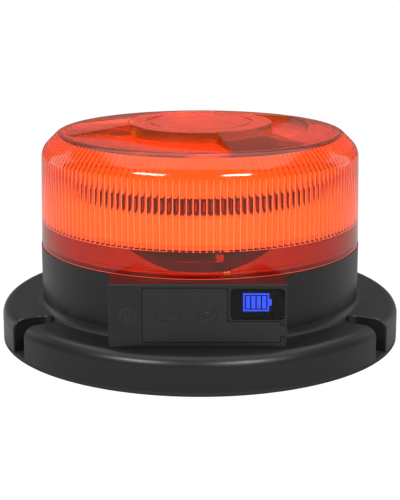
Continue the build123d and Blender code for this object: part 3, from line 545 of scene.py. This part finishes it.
# %% Assign the finishes
FINISHES = {
    "black_plastic": housing, "black_rubber": rubber, "flap_rubber": flap_rubber,
    "button_rubber": flap_rubber, "grey_silicone": silicone, "zinc_steel": steel,
    "pot_steel": pot_steel, "magnet_ceramic": ceramic, "cell_wrap": cell_wrap,
    "nickel_strip": steel, "grey_foam": foam, "wire_cover": wire_cover,
    "green_board": green_board, "dark_board": dark_board, "component_black": component,
    "led_chip": chip, "reflector_white": white, "heat_sink": aluminium,
    "blue_light": blue, "smoked_window": window, "amber_lens": amber,
}
for part in frame["record"]["subparts"]:
    node = frame["nodes"][part["node"]]
    for place in node.material_slots:
        place.material = FINISHES[part["material_slot"]].material

# %% [markdown]
# ## Raised symbols
# The button and the flap carry marks moulded proud of the rubber: a broken ring with a stroke
# on the button, and a rounded slot and a ring with a dot over the two ports. Each is a flat
# path with an oval section, sunk halfway into the face, so it meets the rubber in a soft edge.


# %% Ridge along a path
def ridge(name, x, z, face_y, closed, half=0.22, proud=0.2):
    """Sweeps an ellipse along a path in the front face: centre plus half-width times the
    cosine across the path, and proud height times the sine outwards."""
    path = np.stack([x, z], -1)
    if closed:
        way = np.roll(path, -1, 0) - np.roll(path, 1, 0)
    else:
        way = np.gradient(path, axis=0)
    way /= np.linalg.norm(way, axis=1, keepdims=True)
    across = np.stack([-way[:, 1], way[:, 0]], -1)
    turn = np.radians(np.arange(0, 360, 36))
    size = np.ones(len(path)) if closed else np.clip(np.minimum(*end_steps(len(path))), 0.05, 1)
    reach = half * size[:, None] * np.cos(turn)
    px = path[:, :1] + across[:, :1] * reach
    pz = path[:, 1:] + across[:, 1:] * reach
    py = face_y - proud * size[:, None] * np.sin(turn)
    points = np.stack([px, py, pz], -1).reshape(-1, 3) * MM
    sides = len(turn)
    spans = len(path) if closed else len(path) - 1
    cell = np.arange(spans * sides).reshape(spans, sides)
    beside = np.roll(cell, -1, axis=1)
    total = len(path) * sides
    quads = np.stack([cell, beside, (beside + sides) % total, (cell + sides) % total], -1)
    faces = quads.reshape(-1, 4).tolist()
    if not closed:
        faces.append(list(range(sides))[::-1])
        faces.append(list(range(total - sides, total)))
    mesh = bpy.data.meshes.new(name)
    mesh.from_pydata(points.tolist(), [], faces)
    piece = bpy.data.objects.new(name, mesh)
    bpy.context.scene.collection.objects.link(piece)
    face_outward(piece)
    piece.data.materials.append(flap_rubber.material)
    return smooth(piece, 50)


def end_steps(count):
    """How far each point is from both ends, so that an open ridge tapers there."""
    index = np.arange(count)
    return 0.5 + index, 0.5 + (count - 1 - index)


def face_outward(piece):
    """Recalculates a closed mesh's normals to point out."""
    work = bmesh.new()
    work.from_mesh(piece.data)
    bmesh.ops.recalc_face_normals(work, faces=work.faces)
    work.to_mesh(piece.data)
    work.free()


def circle(x, z, radius, start=0, stop=360, count=40, end=False):
    """Points on a circle between two angles."""
    angle = np.radians(np.linspace(start, stop, count, endpoint=end))
    return x + radius * np.cos(angle), z + radius * np.sin(angle)


def stadium(x, z, half_w, half_h):
    """A slot outline: two half circles joined by straight sides."""
    right = circle(x + half_w - half_h, z, half_h, -90, 90, 16, True)
    left = circle(x - half_w + half_h, z, half_h, 90, 270, 16, True)
    return np.concatenate([right[0], left[0]]), np.concatenate([right[1], left[1]])


# %% Place the symbols
FACE_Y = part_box("port_flap")[0][1] / MM
BUTTON_X, BUTTON_Z = -25.8, 26.1
PORT_Z = 26.5
broken_ring = ridge(
    "power_ring", *circle(BUTTON_X, BUTTON_Z, 1.7, 120, 420, 40, True), FACE_Y, False)
stroke = ridge("power_stroke", np.full(12, BUTTON_X), np.linspace(26.3, 28.2, 12), FACE_Y, False)
for piece in (broken_ring, stroke):
    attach(piece, "button")

port_slot = ridge("slot_symbol", *stadium(-11.5, PORT_Z, 4.3, 1.7), FACE_Y, True)
port_ring = ridge("round_symbol", *circle(2.5, PORT_Z, 3.4), FACE_Y, True)
port_dot = ridge("dot_symbol", *circle(2.5, PORT_Z, 0.6, count=20), FACE_Y, True, 0.45)
for piece in (port_slot, port_ring, port_dot):
    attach(piece, "flap")
print("symbols", len(broken_ring.data.polygons) + len(port_slot.data.polygons))

# %% [markdown]
# ## The living hinge
# Flap and tail are one rubber moulding that bends at a thin line. CAD has to leave a gap there,
# so a thin web of rubber crosses it.


# %% Hinge web
def web(x0, x1, z0, z1, y_front, thick):
    """A closed strip: a crowned oval section in x and y, carried up the hinge line."""
    turn = np.radians(np.arange(0, 360, 15))
    squash = np.abs(np.cos(turn)) ** 0.4 * np.sign(np.cos(turn))
    px = (x0 + x1) / 2 + (x1 - x0) / 2 * squash
    py = y_front + thick / 2 - thick / 2 * np.sin(turn)
    heights = np.linspace(z0, z1, 12)
    points = np.stack(np.broadcast_arrays(px, py, heights[:, None]), -1).reshape(-1, 3) * MM
    sides = len(turn)
    cell = np.arange(11 * sides).reshape(11, sides)
    beside = np.roll(cell, -1, axis=1)
    faces = np.stack([cell, beside, beside + sides, cell + sides], -1).reshape(-1, 4).tolist()
    faces += [list(range(sides)), list(range(11 * sides, 12 * sides))]
    mesh = bpy.data.meshes.new("hinge_web")
    mesh.from_pydata(points.tolist(), [], faces)
    piece = bpy.data.objects.new("hinge_web", mesh)
    bpy.context.scene.collection.objects.link(piece)
    face_outward(piece)
    piece.data.materials.append(flap_rubber.material)
    return smooth(piece, 50)


HINGE_X = 9.7
hinge = web(HINGE_X - 0.5, HINGE_X + 0.6, 16.7, 23.8, FACE_Y - 0.02, 0.7)
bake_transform(hinge)
print("hinge web faces", len(hinge.data.polygons))

# %% [markdown]
# ## Floor
# The floor is a wide pale sheet.

# %% Floor
REACH = 3.0
across = np.linspace(-REACH, REACH, 2)
corners = np.stack(np.meshgrid(across, across), -1).reshape(-1, 2)
floor_mesh = bpy.data.meshes.new("floor")
floor_mesh.from_pydata([(x, y, 0) for x, y in corners], [], [(0, 1, 3, 2)])
floor = bpy.data.objects.new("floor", floor_mesh)
bpy.context.scene.collection.objects.link(floor)
floor_finish = Finish("floor")
pale = floor_finish.mix(floor_finish.noise(3, 2), (0.42, 0.42, 0.42), (0.46, 0.46, 0.46))
floor_finish.set(Base_Color=pale, Roughness=0.8)
backdrop = floor_finish.node("Emission", {}, {"Color": (1, 1, 1), "Strength": 1.05})
seen = floor_finish.node("LightPath", {}, {}, out="Is Camera Ray") * 0.98
sheet = Value(floor_finish, floor_finish.shader.outputs[0])
studio_floor = floor_finish.node("MixShader", {}, {0: seen, 1: sheet, 2: backdrop})
floor_finish.feed(floor_finish.surface, studio_floor)
floor_mesh.materials.append(floor_finish.material)
print("floor", REACH * 2, "m wide")
